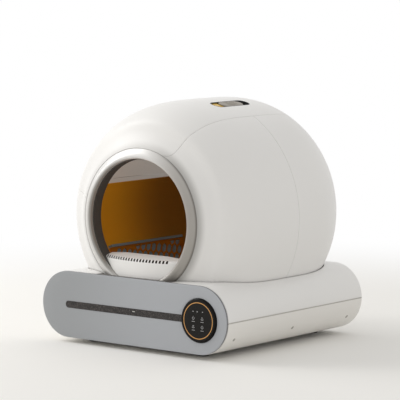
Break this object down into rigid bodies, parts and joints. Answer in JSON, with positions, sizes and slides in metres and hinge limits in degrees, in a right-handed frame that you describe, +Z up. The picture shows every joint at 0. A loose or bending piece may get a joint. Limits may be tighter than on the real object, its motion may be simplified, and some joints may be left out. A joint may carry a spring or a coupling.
{
  "type": "self cleaning litter box",
  "caption": "Dome litter box on a flat base, with a round entrance, a turning drum with sieve and waste port, a hinged lid and a waste drawer.",
  "frame": {"origin": "on the floor below the middle of the object's outer box", "axes": "+Z up, +X to the right as seen from the front, and the entrance faces -Y"},
  "size_m": [0.56, 0.536, 0.5747],
  "materials": {
    "shell_white": "satin",
    "panel_grey": "matt",
    "strip_dark": "mottled",
    "light_white": "smooth",
    "ring_silver": "glossy",
    "collar_dark": "matt",
    "drum_orange": "satin",
    "sieve_orange": "satin",
    "mat_grey": "matt",
    "display_black": "glossy",
    "lens_glass": "polished",
    "light_orange": "smooth",
    "board_green": "smooth",
    "frame_grey": "matt",
    "tray_grey": "matt",
    "foot_rubber": "matt",
    "screw_steel": "satin",
    "gear_white": "satin",
    "track_grey": "smooth",
    "motor_steel": "satin",
    "magnet_steel": "polished",
    "roller_rubber": "matt",
    "latch_grey": "satin",
    "cup_black": "matt",
    "amber": "glossy"
  },
  "bodies": {
    "housing": {"base_lower_shell": "shell_white", "base_upper_shell": "shell_white", "rubber_feet": "foot_rubber", "side_screws": "screw_steel", "front_frame": "frame_grey", "drum_deck": "frame_grey", "cap_posts": "frame_grey", "right_front_panel": "shell_white", "right_rear_panel": "shell_white", "left_panel": "shell_white", "rear_cap": "shell_white", "entrance_ring": "ring_silver", "tunnel_collar": "collar_dark", "entrance_bulkhead": "frame_grey", "entrance_lip": "shell_white", "lid_ledge": "shell_white", "hinge_fixed_leaf": "frame_grey", "hinge_pin": "screw_steel", "display_housing": "display_black", "display_lens": "lens_glass", "display_light_ring": "light_orange", "display_board": "board_green", "control_board": "board_green", "power_inlet": "display_black", "drawer_rails": "frame_grey", "motor_bracket": "screw_steel", "gearbox": "frame_grey", "motor": "motor_steel", "home_sensor": "cup_black", "roller_axles": "screw_steel"},
    "lid": {"lid_panel": "shell_white", "hinge_lid_leaf": "frame_grey", "latch_cup": "cup_black", "latch_indicator": "amber"},
    "latch": {"latch_slider": "latch_grey"},
    "drum": {"drum_shell": "drum_orange", "drum_rear_cap": "drum_orange", "front_track": "track_grey", "rear_track": "track_grey", "gear_ring": "gear_white", "home_magnet": "magnet_steel", "sieve_plate": "sieve_orange", "sieve_mat": "mat_grey", "sieve_bar": "mat_grey"},
    "pinion": {"drive_pinion": "gear_white", "pinion_shaft": "screw_steel"},
    "front_left_roller": {"roller_front_left": "roller_rubber"},
    "front_right_roller": {"roller_front_right": "roller_rubber"},
    "rear_left_roller": {"roller_rear_left": "roller_rubber"},
    "rear_right_roller": {"roller_rear_right": "roller_rubber"},
    "drawer": {"drawer_front": "panel_grey", "accent_strip": "strip_dark", "strip_light": "light_white", "drawer_tray": "tray_grey", "bag_ring": "track_grey"}
  },
  "joints": [
    {"name": "drum_turn", "type": "hinge", "parent": "housing", "child": "drum", "pos_m": [0, 0, 0.3015], "axis": [0, -1, 0], "continuous": true},
    {"name": "pinion_turn", "type": "hinge", "parent": "housing", "child": "pinion", "pos_m": [0.1202, 0.164, 0.09331], "axis": [0, -1, 0], "continuous": true},
    {"name": "front_left_roller_turn", "type": "hinge", "parent": "housing", "child": "front_left_roller", "pos_m": [-0.13501, -0.1595, 0.12869], "axis": [0, -1, 0], "continuous": true},
    {"name": "front_right_roller_turn", "type": "hinge", "parent": "housing", "child": "front_right_roller", "pos_m": [0.13501, -0.1595, 0.12869], "axis": [0, -1, 0], "continuous": true},
    {"name": "rear_left_roller_turn", "type": "hinge", "parent": "housing", "child": "rear_left_roller", "pos_m": [-0.13501, 0.143, 0.12869], "axis": [0, -1, 0], "continuous": true},
    {"name": "rear_right_roller_turn", "type": "hinge", "parent": "housing", "child": "rear_right_roller", "pos_m": [0.13501, 0.143, 0.12869], "axis": [0, -1, 0], "continuous": true},
    {"name": "lid_swing", "type": "hinge", "parent": "housing", "child": "lid", "pos_m": [-0.26915, 0.03, 0.37111], "axis": [0, -1, 0], "range_deg": [0, 80]},
    {"name": "latch_slide", "type": "slide", "parent": "lid", "child": "latch", "axis": [0, -1, 0], "range_m": [0, 0.024]},
    {"name": "drawer_slide", "type": "slide", "parent": "housing", "child": "drawer", "axis": [0, -1, 0], "range_m": [0, 0.33]}
  ],
  "couplings": [
    {"joint": "pinion_turn", "follows": "drum_turn", "ratio": -6.5},
    {"joint": "front_left_roller_turn", "follows": "drum_turn", "ratio": -13.6},
    {"joint": "front_right_roller_turn", "follows": "drum_turn", "ratio": -13.6},
    {"joint": "rear_left_roller_turn", "follows": "drum_turn", "ratio": -13.6},
    {"joint": "rear_right_roller_turn", "follows": "drum_turn", "ratio": -13.6}
  ]
}
